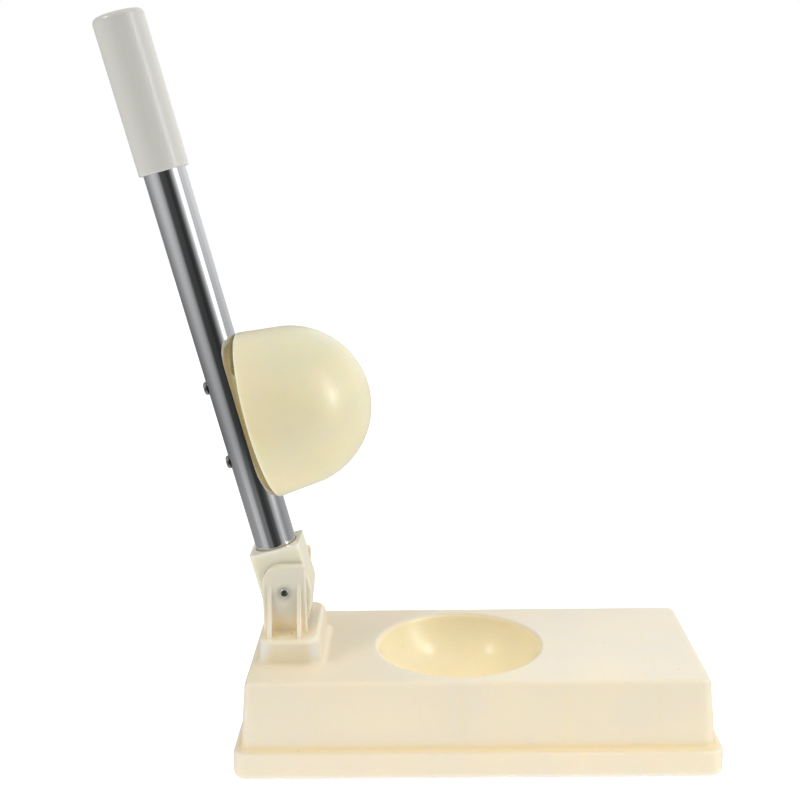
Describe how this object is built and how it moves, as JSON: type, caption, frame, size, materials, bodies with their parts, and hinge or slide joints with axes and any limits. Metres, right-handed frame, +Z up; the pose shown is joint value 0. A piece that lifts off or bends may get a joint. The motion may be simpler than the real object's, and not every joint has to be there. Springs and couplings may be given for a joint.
{
  "type": "hand lever press with dome and bowl",
  "caption": "Hand press: a moulded base with a ball-shaped bowl, and a hinged tube lever whose hollow dome folds down into the bowl with an even gap.",
  "frame": {"origin": "middle of the base's underside, on the rib that stands on the table", "axes": "+Z up, +X from the hinge end of the base to its free end, +Y across the base, along the pivot pin"},
  "size_m": [0.3573, 0.1336, 0.4404],
  "materials": {
    "cream_plastic": "gloss, slightly translucent",
    "dome_plastic": "gloss, slightly translucent",
    "grip_plastic": "satin gloss",
    "chromed_tube": "polished chrome",
    "pin_steel": "turned steel",
    "screw_steel": "black oxide"
  },
  "bodies": {
    "base": {"base": "cream_plastic", "pivot_pin": "pin_steel"},
    "lever": {"lever_block": "cream_plastic", "lever_tube": "chromed_tube", "hand_grip": "grip_plastic", "press_dome": "dome_plastic", "dome_screw_lower": "screw_steel", "dome_screw_upper": "screw_steel"}
  },
  "joints": [
    {"name": "lever_hinge", "type": "hinge", "parent": "base", "child": "lever", "pos_m": [-0.1144, 0, 0.0986], "axis": [0, 1, 0], "range_deg": [0, 104.2]}
  ]
}
